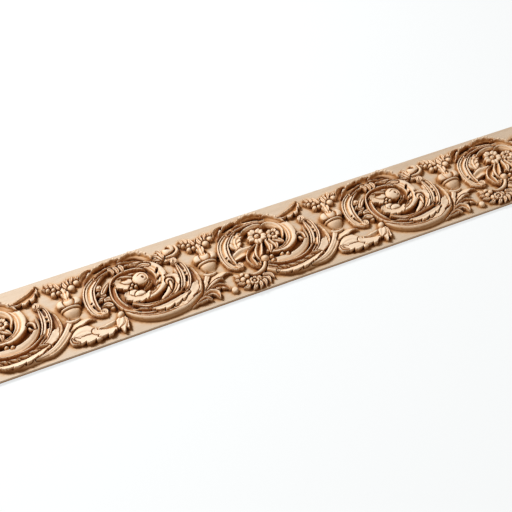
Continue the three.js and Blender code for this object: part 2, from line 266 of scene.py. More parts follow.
ROUND = [(-1, 0.45), (-0.5, 0.9), (0, 1.0), (0.5, 0.9), (1, 0.45)]
HOLLOW = [(-1, 0.9), (-0.72, 1.0), (0, 0.45), (0.72, 1.0), (1, 0.85)]
FLANK = [(-1, 0.3), (-0.55, 0.3), (0.0, 0.5), (0.55, 0.96), (0.85, 1.0), (1, 0.8)]
CURLED = [(-1, 0.85), (-0.8, 1.0), (-0.45, 0.4), (0.2, 0.42), (0.6, 0.92), (1, 0.8)]
CUP = [(-1, 0.8), (-0.3, 0.82), (0.35, 0.92), (0.75, 1.0), (1, 0.8)]
LOBE = [(-1, 0.78), (-0.7, 0.96), (-0.1, 0.88), (0.6, 1.0), (1, 0.78)]
FINGER = [(-1, 0.6), (-0.6, 0.96), (-0.35, 1.0), (0.05, 0.76), (0.45, 0.98), (0.7, 0.94), (1, 0.6)]
HOOD = [(-1, 0.4), (-0.2, 0.75), (0.5, 1), (1, 0.85)]


def stem():
    """The stem under a scroll, from the sheath at the next urn to the joint at its lower left."""
    strap(
        [
            (1.215, 0.57), (1.262, 0.46), (1.27, 0.32), (1.21, 0.19), (1.08, 0.1), (0.92, 0.06), (0.76, 0.06),
            (0.62, 0.105), (0.52, 0.18), (0.46, 0.27),
        ],
        [0.004, 0.012, 0.024, 0.05, 0.056, 0.05, 0.044, 0.04, 0.034, 0.02],
        [3.4, 4.4, 5.6, 6.6, 6.8, 6.8, 6.8, 6.8, 6.6, 6.2], STEM,
    )
    strap(
        [(0.92, 0.085), (1.03, 0.13), (1.115, 0.195), (1.185, 0.25), (1.24, 0.32)],
        [0.012, 0.046, 0.06, 0.052, 0.01], [6.8, 7.4, 7.2, 5.6], CUP, ditch=1.6, lobes=3.4, notch=0.55,
    )
    slit([(1.13, 0.14), (1.17, 0.155), (1.22, 0.175)], 0.026, 3.0)


def outer_arm(last):
    """From the left button over the top, winding in on the right: low and broad, then an arm with two rims."""
    strap(
        [(0.29, 0.3), (0.235, 0.33), (0.207, 0.41), (0.205, 0.52), (0.235, 0.63), (0.31, 0.71), (0.4, 0.765)],
        [0.03, 0.056, 0.062, 0.064, 0.058, 0.045, 0.03], [4.6, 4.8, 5.0, 5.4, 6.0, 6.6], CLASP,
    )
    strap(
        [(0.33, 0.735), (0.42, 0.782), (0.56, 0.8), (0.7, 0.787), (0.82, 0.73), (0.905, 0.64)] + last,
        [0.02, 0.03, 0.03, 0.034, 0.044, 0.056, 0.062, 0.056, 0.044, 0.03, 0.015], [6.4, 7.0, 7.4, 7.6, 8.0, 8.2],
        ARM, ditch=1.0,
    )
    strap(
        [(0.7, 0.772), (0.82, 0.722), (0.905, 0.64)] + last,
        [0.006, 0.034, 0.058, 0.064, 0.058, 0.046, 0.032, 0.015], [7.4, 7.8, 8.2], FLUTED, ditch=0.2,
    )


def inner_arm(last, last_widths):
    """From the right button under the scroll, winding in on the left."""
    strap(
        [(1.105, 0.635), (1.15, 0.6), (1.165, 0.5), (1.15, 0.38), (1.085, 0.255), (0.97, 0.17)],
        [0.022, 0.05, 0.054, 0.05, 0.042, 0.03], [4.6, 4.8, 5.2, 5.6, 6.2], CLASP,
    )
    strap(
        [(1.09, 0.27), (0.97, 0.175), (0.83, 0.14), (0.68, 0.15), (0.56, 0.21)] + last,
        [0.02, 0.034, 0.034, 0.033] + last_widths, [6.2, 6.6, 7.0, 7.6, 8.0, 8.4], ARM, ditch=1.0,
    )


def crest(leaves, slots):
    """The leaves over the top of the scroll, hollow on the near side, with lobes that lean out to the far edge."""
    for points, widths, heights, lobes in leaves:
        strap(points, widths, heights, FLANK, ditch=1.0, lobes=lobes, notch=0.52)
    for points in slots:
        slit(points, 0.026, 6.5)


def button(at, turn):
    """The round end of a C-shaped band, with a small curl in it."""
    bead(at, 0.037, 5.4, ring=1.0, eye=1.6, ditch=1.2, base=4.2)
    a = math.radians(turn)
    gouge(at, (at[0] + 0.03 * math.cos(a), at[1] + 0.03 * math.sin(a)), 0.011, 1.6)


def clasps():
    """The slots, holes and buttons of the two C-shaped bands, and the hook over the left one."""
    gouge((0.207, 0.466), (0.207, 0.466), 0.021, 4.4)
    gouge((0.213, 0.425), (0.243, 0.352), 0.021, 4.6)
    gouge((1.152, 0.602), (1.168, 0.522), 0.026, 5.0)
    gouge((1.17, 0.468), (1.17, 0.468), 0.026, 5.0)
    gouge((1.17, 0.42), (1.153, 0.365), 0.026, 5.0)
    button((0.292, 0.322), 150)
    button((1.12, 0.655), 250)
    strap(
        [(0.185, 0.79), (0.235, 0.85), (0.33, 0.88)], [0.018, 0.024, 0.006], [5.5, 5.5],
        [(-1, 0.2), (-0.2, 0.5), (0.7, 1), (1, 0.8)], ditch=0,
    )


def sheath():
    """The stem sweeps up into a sheath, which holds the urn's foot and throws out a long tongue to the right."""
    strap(
        [(-0.46, 0.04), (-0.3, 0.065), (-0.18, 0.145), (-0.08, 0.26), (-0.015, 0.37)],
        [0.006, 0.034, 0.042, 0.044, 0.046], [6.0, 6.8, 6.2, 5.2, 4.4],
        [(-1, 0.4), (-0.6, 0.72), (-0.4, 0.66), (0.0, 0.92), (0.2, 0.88), (0.45, 1), (0.8, 0.95), (1, 0.55)],
        ditch=1.0,
    )
    strap(
        [(-0.06, 0.24), (0.0, 0.275), (0.07, 0.3), (0.12, 0.305), (0.18, 0.28)], [0.02, 0.045, 0.04, 0.026, 0.006],
        [5.4, 5.4, 4.8], [(-1, 0.95), (-0.6, 1.0), (0.2, 0.6), (1, 0.2)], ditch=2.4,
    )
    strap(
        [(-0.075, 0.37), (-0.045, 0.345), (0.0, 0.338), (0.045, 0.352)], [0.012, 0.018, 0.018, 0.012],
        [3.2, 4.2, 3.2], ROUND,
    )


def urn():
    """A turned cup half sunk in the ground, a lip ring, and three tulip lobes standing in its mouth."""
    for side in (-1, 1, 0):
        at = (0.005 + side * 0.07, 0.548 + 0.008 * (side == 0))
        bead(at, 0.056, 8.8, long=0.95, base=3.0, sharp=3.0, ditch=1.6)
    spot, x, y = window(np.array([-0.13, 0.34]) * BOARD_WIDTH, np.array([0.13, 0.53]) * BOARD_WIDTH)
    v = y / BOARD_WIDTH
    half = BOARD_WIDTH * np.interp(
        v, [0.365, 0.385, 0.41, 0.44, 0.47, 0.476, 0.5], [0.034, 0.046, 0.066, 0.082, 0.09, 0.103, 0.103],
    )
    height = np.interp(
        v, [0.365, 0.385, 0.4, 0.42, 0.44, 0.462, 0.47, 0.48, 0.494, 0.5],
        [0.5, 1.0, 2.8, 5.0, 6.4, 7.0, 5.6, 9.0, 9.0, 5.6],
    )
    x = x - 0.005 * BOARD_WIDTH
    curve = np.sqrt(np.clip(1 - (x / half) ** 2, 0, 1))
    edge = np.minimum(half - np.abs(x), 0.5 * BOARD_WIDTH - y)
    lay(spot, height * (0.06 + 0.94 * curve), np.minimum(edge, y - 0.366 * BOARD_WIDTH))


def bouquet():
    """The spray of berries and leaves that stands in the urn."""
    acanthus(
        [(0.0, 0.6), (0.005, 0.68), (0.0, 0.76), (0.02, 0.84)], [0.03, 0.044, 0.03, 0.012], [6.6, 6.6, 4.6], 3,
        notch=0.25, teeth=1,
    )
    fingers(
        [
            [(-0.06, 0.76), (-0.11, 0.82), (-0.158, 0.885)],
            [(-0.05, 0.77), (-0.085, 0.83), (-0.11, 0.885)],
            [(-0.03, 0.77), (-0.045, 0.81), (-0.055, 0.865)],
            [(-0.08, 0.76), (-0.14, 0.79), (-0.185, 0.83)],
            [(0.07, 0.76), (0.06, 0.82), (0.075, 0.87)],
            [(0.1, 0.78), (0.115, 0.83), (0.125, 0.885)],
            [(0.13, 0.79), (0.165, 0.82), (0.185, 0.86)],
            [(0.05, 0.74), (0.03, 0.79), (0.035, 0.84)],
        ],
        0.022, [6.2, 5.6, 4.8], 3.0, FINGER,
    )
    slit([(-0.025, 0.829), (-0.012, 0.8), (0.001, 0.763)], 0.014, 5.0)
    for at, radius in (
        ((-0.132, 0.79), 0.023), ((-0.095, 0.72), 0.03), ((-0.047, 0.72), 0.025), ((-0.08, 0.775), 0.023),
        ((0.15, 0.775), 0.032), ((0.087, 0.732), 0.038),
    ):
        bead(at, radius, 6.6, base=1.0)


def bud_scroll():
    """The scroll that ends in a bud. What lies lowest is carved first, and the rest over it."""
    # the broad leaf under the urn, with its lobed near edge
    strap(
        [(-0.09, 0.13), (0.0, 0.16), (0.07, 0.145), (0.12, 0.11)], [0.03, 0.07, 0.095, 0.06], [5.0, 5.6, 5.8],
        [(-1, 0.8), (-0.6, 0.95), (-0.4, 0.9), (-0.2, 1), (0.1, 0.92), (0.3, 1), (0.6, 0.9), (1, 0.6)], ditch=3.0,
    )
    strap(
        [(0.2, 0.12), (0.16, 0.075), (0.1, 0.062), (0.03, 0.07), (-0.03, 0.08), (-0.06, 0.12)],
        [0.012, 0.048, 0.048, 0.046, 0.04, 0.012], [5.8, 6.4, 5.8], CUP, ditch=1.6, lobes=3.4, notch=0.65,
    )
    strap([(-0.1, 0.13), (-0.09, 0.085), (-0.045, 0.06)], [0.012, 0.026, 0.01], [5.0, 5.6], HOLLOW, ditch=2.0)
    # the leaf that the knuckle throws out to the left, and the one that hangs from it
    strap(
        [(0.395, 0.175), (0.33, 0.13), (0.25, 0.115), (0.19, 0.13)], [0.02, 0.048, 0.052, 0.03], [6.4, 6.4, 5.6],
        HOLLOW, ditch=3.0,
    )
    strap(
        [(0.33, 0.085), (0.25, 0.07), (0.175, 0.09), (0.135, 0.13), (0.15, 0.17)],
        [0.012, 0.042, 0.046, 0.042, 0.012], [6.0, 6.2, 5.8], CUP, ditch=1.6, lobes=3.4, notch=0.65,
    )
    fingers(
        [
            [(0.42, 0.2), (0.425, 0.13), (0.44, 0.055)],
            [(0.42, 0.19), (0.4, 0.11), (0.39, 0.025)],
            [(0.41, 0.18), (0.385, 0.13), (0.355, 0.085)],
        ],
        0.044, [6.6, 6.4, 6.0], 0.8, LOBE,
    )
    # the leaf between the two arms on the left
    strap([(0.38, 0.33), (0.35, 0.42), (0.335, 0.52), (0.34, 0.6)], [0.025, 0.034, 0.03, 0.02], [6.4, 7.2], ROUND)
    fingers(
        [
            [(0.38, 0.36), (0.34, 0.385), (0.295, 0.38)],
            [(0.36, 0.43), (0.32, 0.46), (0.275, 0.45)],
            [(0.35, 0.5), (0.32, 0.535), (0.275, 0.53)],
            [(0.345, 0.44), (0.385, 0.44), (0.41, 0.4)],
            [(0.34, 0.53), (0.38, 0.585), (0.435, 0.635)],
        ],
        0.03, [7.2, 6.6], 4.0, FINGER,
    )
    bead((0.322, 0.61), 0.034, 7.6, ring=1.6, base=4.0)
    # the branch inside the right band, then the stem, the two arms and the crest
    strap(
        [(1.085, 0.53), (1.07, 0.4), (1.0, 0.28), (0.87, 0.212), (0.7, 0.222), (0.58, 0.29)],
        [0.012, 0.026, 0.03, 0.032, 0.03, 0.02], [7.4, 7.0],
        [(-1, 0.5), (-0.4, 0.8), (-0.15, 1), (0.1, 0.75), (0.4, 0.9), (0.8, 0.95), (1, 0.6)],
    )
    stem()
    outer_arm([(0.94, 0.53), (0.91, 0.42), (0.82, 0.338), (0.7, 0.308), (0.6, 0.34)])
    inner_arm(
        [
            (0.475, 0.29), (0.435, 0.41), (0.445, 0.54), (0.49, 0.625), (0.57, 0.664), (0.66, 0.668), (0.76, 0.645),
            (0.825, 0.57), (0.81, 0.47), (0.74, 0.42),
        ],
        [0.033, 0.033, 0.033, 0.034, 0.034, 0.036, 0.04, 0.034, 0.022, 0.01],
    )
    crest(
        [
            (
                [(0.22, 0.74), (0.32, 0.815), (0.42, 0.858), (0.52, 0.87)],
                [0.01, 0.034, 0.042, 0.012],
                [5.0, 8.0, 8.4],
                3.4,
            ),
            ([(0.44, 0.85), (0.54, 0.868), (0.65, 0.86)], [0.014, 0.044, 0.014], [7.6, 9.4, 8.6], 3.3),
            (
                [(0.61, 0.85), (0.69, 0.868), (0.77, 0.862), (0.85, 0.82), (0.93, 0.745)],
                [0.014, 0.05, 0.058, 0.056, 0.012],
                [8.2, 10.0, 10.2, 9.4, 7.4],
                5.4,
            ),
        ],
        [[(0.65, 0.85), (0.76, 0.832), (0.87, 0.758)], [(0.33, 0.82), (0.42, 0.845), (0.52, 0.855)]],
    )
    # the leaf tips that hang under the arms
    fingers(
        [
            [(0.49, 0.79), (0.515, 0.765), (0.515, 0.725)],
            [(0.545, 0.79), (0.565, 0.76), (0.56, 0.712)],
            [(0.6, 0.79), (0.615, 0.76), (0.61, 0.715)],
            [(0.87, 0.69), (0.81, 0.718), (0.74, 0.712)],
        ],
        0.026, [7.2, 6.0], 4.0, FINGER,
    )
    # the calyx of broad lobes, and the bud with its curled tip
    bead((0.575, 0.555), 0.078, 8.3, long=1.3, turn=-8, base=5.0, sharp=4.0)
    strap(
        [(0.67, 0.595), (0.6, 0.622), (0.53, 0.625), (0.465, 0.59)], [0.016, 0.02, 0.018, 0.005], [9.0, 9.4, 8.4],
        ROUND,
    )
    slit([(0.49, 0.583), (0.55, 0.592), (0.61, 0.58)], 0.036, 2.2)
    strap(
        [(0.63, 0.49), (0.56, 0.5), (0.51, 0.545), (0.505, 0.59), (0.55, 0.61)], [0.02, 0.032, 0.034, 0.026, 0.012],
        [8.6, 8.6, 8.8], CUP, ditch=0.8, lobes=3.4, notch=0.6,
    )
    bead((0.605, 0.39), 0.06, 7.8, long=1.2, turn=15, base=5.0, sharp=4.0)
    bead((0.675, 0.36), 0.056, 7.8, base=5.0, sharp=4.0)
    strap(
        [(0.76, 0.36), (0.715, 0.315), (0.64, 0.31), (0.57, 0.345), (0.54, 0.4), (0.57, 0.44)],
        [0.016, 0.034, 0.036, 0.036, 0.032, 0.012], [8.2, 8.2, 8.4], CUP, ditch=0.8, lobes=5.4, notch=0.62,
    )
    bead((0.737, 0.55), 0.08, 10.2, sharp=2.4, base=5.0)
    for at in ((0.64, 0.505), (0.665, 0.478), (0.615, 0.47)):
        bead(at, 0.021, 8.6)
    slit([(0.71, 0.57), (0.75, 0.592), (0.79, 0.57), (0.795, 0.525), (0.765, 0.5)], 0.014, 1.2)
    gouge((0.757, 0.545), (0.762, 0.54), 0.024, 2.0)
    slit([(0.745, 0.645), (0.81, 0.625), (0.845, 0.56), (0.835, 0.48)], 0.03, 8.0)
    gouge((0.7, 0.64), (0.72, 0.645), 0.016, 3.0)
    # the short slots in the right arm, and the curled leaf in the gap beside it
    for a, b in (
        ((0.875, 0.475), (0.925, 0.51)), ((0.905, 0.565), (0.93, 0.605)), ((0.835, 0.405), (0.895, 0.425)),
        ((0.79, 0.375), (0.835, 0.378)),
    ):
        gouge(a, b, 0.024, 5.0)
    strap([(0.86, 0.24), (0.93, 0.29), (0.97, 0.34)], [0.02, 0.03, 0.03], [6.6, 6.8], ROUND)
    bead((0.99, 0.415), 0.046, 7.4, base=2.0)
    strap(
        [(0.975, 0.485), (1.035, 0.475), (1.07, 0.42), (1.06, 0.35)], [0.008, 0.028, 0.03, 0.01], [7.2, 8.0, 7.4],
        CUP, ditch=2.0, lobes=3.4, notch=0.5,
    )
    slit([(1.0, 0.455), (1.03, 0.44), (1.04, 0.4)], 0.028, 3.5)
    fingers([[(0.99, 0.4), (0.99, 0.36), (0.975, 0.31)]], 0.022, [7.2, 6.4], 3.0, ROUND)
    # the leaf over the stem, lobe by lobe
    strap(
        [(1.13, 0.26), (1.03, 0.21), (0.9, 0.178), (0.78, 0.165), (0.7, 0.178)], [0.012, 0.036, 0.04, 0.034, 0.01],
        [7.8, 8.6, 8.0], CURLED, ditch=4.0,
    )
    strap(
        [(1.12, 0.205), (1.02, 0.158), (0.92, 0.13), (0.82, 0.122), (0.72, 0.148)],
        [0.008, 0.036, 0.04, 0.036, 0.01], [7.8, 8.6, 8.0], LOBE, ditch=4.0, lobes=4.4, notch=0.8,
    )
    # the volute in the upper right corner, and the leaf under it
    acanthus([(0.98, 0.7), (1.08, 0.705), (1.21, 0.745)], [0.035, 0.05, 0.01], [6.4, 5.2], 3.2, teeth=2)
    fingers(
        [
            [(1.01, 0.7), (0.97, 0.725), (0.925, 0.72)],
            [(1.02, 0.71), (1.0, 0.76), (0.945, 0.79)],
            [(1.04, 0.73), (1.03, 0.79), (0.995, 0.835)],
        ],
        0.03, [7.4, 6.6], 4.0, FINGER,
    )
    bead((1.125, 0.79), 0.07, 8.2, long=1.1, turn=20, base=1.0, sharp=2.2)
    slit([(1.06, 0.845), (1.1, 0.825), (1.13, 0.79)], 0.05, 5.0)
    strap(
        [(1.2, 0.83), (1.205, 0.77), (1.15, 0.725), (1.07, 0.72)], [0.014, 0.022, 0.022, 0.012], [5.6, 5.6], ROUND,
    )
    # the knuckle at the lower left, and a slot at each end of the lower arm
    bead((0.42, 0.225), 0.036, 7.2, long=1.2, turn=40)
    gouge((0.525, 0.285), (0.61, 0.19), 0.02, 4.0)
    gouge((1.04, 0.215), (1.09, 0.265), 0.018, 4.0)
    clasps()


def flower_scroll():
    """The scroll that ends in a flower, with a looped stem of fruit under it. What lies lowest is carved first."""
    heart = (0.595, 0.595)
    # the fronds under the urn, and the berry beside them
    strap(
        [(-0.13, 0.165), (-0.061, 0.206), (0.009, 0.237), (0.07, 0.235)], [0.006, 0.018, 0.022, 0.006],
        [5.2, 6.2, 5.6], ROUND,
    )
    strap(
        [(0.09, 0.09), (0.05, 0.135), (-0.008, 0.158), (-0.075, 0.152), (-0.13, 0.13)],
        [0.008, 0.03, 0.036, 0.026, 0.008], [5.4, 6.2, 5.8], CURLED, lobes=3.4, notch=0.6,
    )
    strap(
        [(-0.2, 0.095), (-0.15, 0.112), (-0.095, 0.118), (-0.055, 0.09), (-0.045, 0.035)],
        [0.008, 0.024, 0.036, 0.036, 0.012], [5.8, 6.2, 5.4], HOLLOW,
    )
    strap(
        [(-0.27, 0.05), (-0.22, 0.062), (-0.17, 0.07), (-0.13, 0.05)], [0.008, 0.022, 0.028, 0.012],
        [5.6, 6.0, 5.2], HOLLOW,
    )
    bead((0.125, 0.06), 0.036, 5.6, base=1.0, eye=0.8)
    # the leaf on the left, and the broad petal under it
    acanthus([(0.36, 0.5), (0.35, 0.57), (0.38, 0.65), (0.48, 0.7)], [0.04, 0.07, 0.065, 0.02], [7.4, 7.2], 3.2)
    strap(
        [(0.47, 0.46), (0.37, 0.46), (0.28, 0.43)], [0.05, 0.055, 0.04], [6.6, 6.0],
        [(-1, 0.9), (-0.6, 1), (0.1, 0.6), (0.7, 0.85), (1, 0.8)],
    )
    # the branch inside the right band, then the stem, the two arms and the crest
    strap(
        [(1.085, 0.52), (1.065, 0.4), (0.99, 0.29), (0.86, 0.22), (0.72, 0.21), (0.58, 0.25)],
        [0.012, 0.026, 0.036, 0.046, 0.046, 0.02], [7.8, 7.4],
        [(-1, 0.7), (-0.7, 1), (-0.2, 0.9), (0.5, 0.7), (1, 0.5)],
    )
    stem()
    outer_arm([(0.935, 0.53), (0.9, 0.42), (0.8, 0.345), (0.68, 0.34), (0.62, 0.37)])
    inner_arm([(0.5, 0.26)], [0.03, 0.02])
    crest(
        [
            (
                [(0.22, 0.735), (0.3, 0.8), (0.38, 0.84), (0.48, 0.855)],
                [0.01, 0.038, 0.044, 0.012],
                [5.6, 8.6, 8.8],
                3.4,
            ),
            (
                [(0.46, 0.845), (0.56, 0.866), (0.65, 0.862), (0.73, 0.836), (0.78, 0.8)],
                [0.012, 0.048, 0.05, 0.044, 0.012],
                [7.8, 9.8, 10.0, 9.4],
                4.4,
            ),
            (
                [(0.72, 0.82), (0.8, 0.785), (0.86, 0.735), (0.94, 0.665)],
                [0.012, 0.046, 0.046, 0.012],
                [8.6, 9.6, 9.0, 7.0],
                3.4,
            ),
        ],
        [[(0.54, 0.85), (0.66, 0.84), (0.755, 0.8)], [(0.3, 0.8), (0.38, 0.832), (0.46, 0.842)]],
    )
    # the two rows of short lobes that lie over the stem
    fingers(
        [
            [(0.74, 0.075), (0.69, 0.09), (0.63, 0.13)],
            [(0.83, 0.065), (0.77, 0.08), (0.71, 0.118)],
            [(0.92, 0.075), (0.86, 0.085), (0.8, 0.112)],
            [(1.01, 0.1), (0.96, 0.105), (0.9, 0.125)],
            [(1.09, 0.14), (1.05, 0.14), (0.99, 0.15)],
        ],
        0.036, [7.4, 8.4, 7.8], 3.5, HOLLOW,
    )
    strap(
        [(1.11, 0.14), (0.97, 0.08), (0.82, 0.052), (0.68, 0.062), (0.6, 0.1)], [0.01, 0.026, 0.028, 0.026, 0.01],
        [7.0, 7.6, 7.0], CUP, ditch=3.0, lobes=4.4, notch=0.7,
    )
    # the long petals that hang from the flower, the two hoods and the two open flowers under them
    strap(
        [(0.53, 0.47), (0.46, 0.42), (0.42, 0.35), (0.43, 0.27), (0.46, 0.22)], [0.03, 0.046, 0.048, 0.036, 0.012],
        [7.8, 7.4, 6.4], CURLED, ditch=1.6, lobes=2.4, notch=0.5,
    )
    strap([(0.58, 0.49), (0.535, 0.41), (0.51, 0.33), (0.52, 0.28)], [0.03, 0.044, 0.04, 0.01], [7.8, 6.8], HOLLOW)
    fingers(
        [
            [(0.66, 0.5), (0.67, 0.43), (0.64, 0.35)],
            [(0.7, 0.5), (0.73, 0.43), (0.72, 0.37)],
            [(0.74, 0.49), (0.79, 0.45), (0.82, 0.42)],
        ],
        0.034, [7.8, 6.8], 4.0, FINGER,
    )
    strap(
        [(0.45, 0.68), (0.52, 0.715), (0.62, 0.73), (0.7, 0.705)], [0.012, 0.026, 0.028, 0.014], [7.6, 8.6],
        HOOD,
    )
    strap(
        [(0.68, 0.69), (0.75, 0.7), (0.82, 0.65), (0.85, 0.57), (0.83, 0.48)], [0.014, 0.032, 0.034, 0.03, 0.012],
        [8.8, 9.2, 8.6], HOOD,
    )
    rosette(heart, 0.105, 8.6, 10)
    bead(heart, 0.034, 9.0, eye=1.8, ring=0.6)
    rosette((0.757, 0.555), 0.072, 9.2, 20)
    bead((0.757, 0.555), 0.02, 8.8)
    slit([(0.815, 0.62), (0.835, 0.58), (0.83, 0.53)], 0.02, 6.0)
    # the curled leaf in the gap, and the curls on the branch
    bead((1.02, 0.415), 0.042, 7.4, base=2.0)
    slit([(0.985, 0.44), (1.015, 0.425), (1.03, 0.385)], 0.042, 6.5)
    strap(
        [(1.045, 0.39), (1.04, 0.445), (1.0, 0.47), (0.975, 0.45)], [0.012, 0.018, 0.018, 0.004], [7.0, 7.4], ROUND,
    )
    slit([(0.975, 0.665), (0.99, 0.63), (0.995, 0.58)], 0.022, 5.0)
    for at in ((0.625, 0.295), (0.62, 0.24), (0.735, 0.28), (0.79, 0.262)):
        bead(at, 0.026, 7.8, ring=1.0)
    # the looped stem with its fruit and a small flower, and the leaves around them
    fingers(
        [
            [(0.24, 0.17), (0.21, 0.19), (0.185, 0.235)],
            [(0.24, 0.13), (0.21, 0.14), (0.17, 0.17)],
            [(0.25, 0.1), (0.22, 0.1), (0.175, 0.115)],
            [(0.28, 0.06), (0.25, 0.04), (0.215, 0.045)],
            [(0.34, 0.04), (0.33, 0.02), (0.3, -0.005)],
            [(0.38, 0.06), (0.39, 0.02), (0.37, -0.01)],
            [(0.42, 0.07), (0.44, 0.04), (0.435, 0.0)],
            [(0.44, 0.1), (0.485, 0.07), (0.49, 0.015)],
            [(0.46, 0.12), (0.52, 0.1), (0.54, 0.05)],
        ],
        0.022, [5.8, 4.8], 4.0, FINGER,
    )
    for at, radius in (
        ((0.26, 0.2), 0.03), ((0.25, 0.145), 0.033), ((0.3, 0.17), 0.03), ((0.29, 0.095), 0.035),
        ((0.4, 0.1), 0.033),
    ):
        bead(at, radius, 6.0, eye=0.8)
    rosette((0.345, 0.085), 0.052, 6.4, 30)
    bead((0.345, 0.085), 0.018, 6.2)
    strap(
        [(0.55, 0.29), (0.51, 0.21), (0.45, 0.165), (0.38, 0.155), (0.32, 0.19)],
        [0.022, 0.024, 0.026, 0.02, 0.008], [7.6, 7.2, 6.0], ROUND, ditch=3.0,
    )
    bead((0.555, 0.3), 0.045, 8.4, ring=0.6)
    # the leaf that flies to the upper right corner
    strap(
        [(1.185, 0.9), (1.15, 0.83), (1.09, 0.775), (1.0, 0.75), (0.9, 0.745)], [0.008, 0.044, 0.06, 0.045, 0.012],
        [6.0, 6.8, 6.4], CURLED, ditch=2.5, lobes=4.4, notch=0.65,
    )
    clasps()


# One repeat of the frieze: the origin says which of its two scrolls is being carved.
for origin, carve in ((0, flower_scroll), (1, bud_scroll)):
    sheath()
    carve()
    urn()
    bouquet()


# The strip itself: the field as a closed mesh with a flat back and square ends, thinned to what its detail needs.
# The scraper leaves its ground very slightly uneven, in crossing waves of a few hundredths of a millimetre.
SCRAPED = 0.025
TRIANGLES = 195000
SHARP_FROM = 50

strip_columns = round(BOARD_LENGTH / CELL) + 1
first = round((FIRST_URN - SCROLL_PITCH) / CELL)
x, y = np.meshgrid(np.arange(strip_columns) * CELL, np.arange(rows) * CELL)
uneven = SCRAPED * (2 + np.sin(2 * math.pi * (x / 7.3 + y / 11.1)) + np.sin(2 * math.pi * (y / 6.1 - x / 9.7)))
face = relief[:, (np.arange(strip_columns) - first) % columns] + uneven
xs = np.linspace(-BOARD_LENGTH / 2, BOARD_LENGTH / 2, strip_columns) / 1000
ys = np.linspace(-BOARD_WIDTH / 2, BOARD_WIDTH / 2, rows) / 1000
grid_x, grid_y = np.meshgrid(xs, ys)
top = np.stack([grid_x, grid_y, (face + BOARD_THICKNESS) / 1000], -1).reshape(-1, 3)
back_near = np.stack([xs, np.full_like(xs, ys[0]), np.zeros_like(xs)], -1)
back_far = np.stack([xs, np.full_like(xs, ys[-1]), np.zeros_like(xs)], -1)
places = np.vstack([top, back_near, back_far])
index = np.arange(rows * strip_columns).reshape(rows, strip_columns)
near = rows * strip_columns + np.arange(strip_columns)
far = near + strip_columns
quads = np.concatenate([
    np.stack([index[:-1, :-1], index[:-1, 1:], index[1:, 1:], index[1:, :-1]], -1).reshape(-1, 4),
    np.stack([near[:-1], near[1:], index[0, 1:], index[0, :-1]], -1),
    np.stack([index[-1, :-1], index[-1, 1:], far[1:], far[:-1]], -1),
    np.stack([near[:-1], far[:-1], far[1:], near[1:]], -1),
])
ends = [
    [int(near[0])] + index[:, 0].tolist() + [int(far[0])],
    [int(far[-1])] + index[::-1, -1].tolist() + [int(near[-1])],
]
mesh = bpy.data.meshes.new("moulding")
mesh.from_pydata(places.tolist(), [], quads.tolist() + ends)
mesh.update()
moulding = bpy.data.objects.new("moulding", mesh)
bpy.context.collection.objects.link(moulding)
triangles_now = sum(len(p.vertices) - 2 for p in mesh.polygons)
thin = moulding.modifiers.new("thin", "DECIMATE")
thin.ratio = TRIANGLES / triangles_now
bpy.context.view_layer.objects.active = moulding
moulding.select_set(True)
bpy.ops.object.modifier_apply(modifier="thin")
mesh = moulding.data
mesh.polygons.foreach_set("use_smooth", [True] * len(mesh.polygons))
mesh.set_sharp_from_angle(angle=math.radians(SHARP_FROM))
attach(moulding, "root")
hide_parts("acanthus_moulding")

# The wood: pale and fine-sanded. Its colour has painted shade, browner on the walls and in the hollows, and a painted
# highlight, lighter on the raised carving.
# Each corner of the mesh keeps how far the carving around it shuts out the sky, which steers the painted shade.
DIRECTIONS = 12
SKY_STEPS = (1.0, 1.5, 2.2, 3.2, 4.4, 5.5)
# The board's sides and back count as this shut in, which paints a fixed share of shade on them.
SIDES_PAINTED_SHADE = 0.38


def shut_in(field):
    """How far the carving around each place shuts out the sky, from 0 in the open to 1."""
    wide = round(SKY_STEPS[-1] / CELL) + 1
    padded = np.pad(field, wide, constant_values=-BOARD_THICKNESS)
    lost = np.zeros_like(field)
    for a in np.arange(DIRECTIONS) * 2 * math.pi / DIRECTIONS:
        horizon = np.zeros_like(field)
        for away in SKY_STEPS:
            i, j = round(away * math.cos(a) / CELL), round(away * math.sin(a) / CELL)
            moved = padded[wide + j:wide + j + field.shape[0], wide + i:wide + i + field.shape[1]]
            horizon = np.maximum(horizon, (moved - field) / (math.hypot(i, j) * CELL))
        lost += horizon ** 2 / (1 + horizon ** 2) / DIRECTIONS
    return lost


corners = np.empty(len(mesh.vertices) * 3)
mesh.vertices.foreach_get("co", corners)
corners = corners.reshape(-1, 3) * 1000
i = np.clip(np.round((corners[:, 0] + BOARD_LENGTH / 2) / CELL).astype(int), 0, strip_columns - 1)
j = np.clip(np.round((corners[:, 1] + BOARD_WIDTH / 2) / CELL).astype(int), 0, rows - 1)
below_ground = corners[:, 2] < BOARD_THICKNESS - 0.2
# Corners on the sides and back take that fixed share of painted shade; the rest take painted shade from how shut in
# they are.
shut = np.where(below_ground, SIDES_PAINTED_SHADE, shut_in(face)[j, i])
mesh.attributes.new("shut_in", "FLOAT", "POINT").data.foreach_set("value", shut)

wood = bpy.data.materials.new("pale_wood")
wood.use_nodes = True
nodes, links = wood.node_tree.nodes, wood.node_tree.links
surface = nodes["Principled BSDF"]


def add(kind, settings=(), **inputs):
    """A node with its settings. Its inputs, by name or as _number, are values or sockets to link."""
    made = nodes.new(kind)
    for name, value in dict(settings).items():
        setattr(made, name, value)
    for name, value in inputs.items():
        socket = made.inputs[int(name[1:])] if name[0] == "_" else made.inputs[name]
        if isinstance(value, bpy.types.NodeSocket):
            links.new(value, socket)
        else:
            socket.default_value = value
    return made


def ramp(mask, *stops):
    """The colour that stops from the lowest to the highest give a mask."""
    made = add("ShaderNodeValToRGB", Fac=mask)
    made.color_ramp.elements[0].position, made.color_ramp.elements[0].color = stops[0]
    made.color_ramp.elements[1].position, made.color_ramp.elements[1].color = stops[-1]
    for position, color in stops[1:-1]:
        made.color_ramp.elements.new(position).color = color
    return made.outputs["Color"]


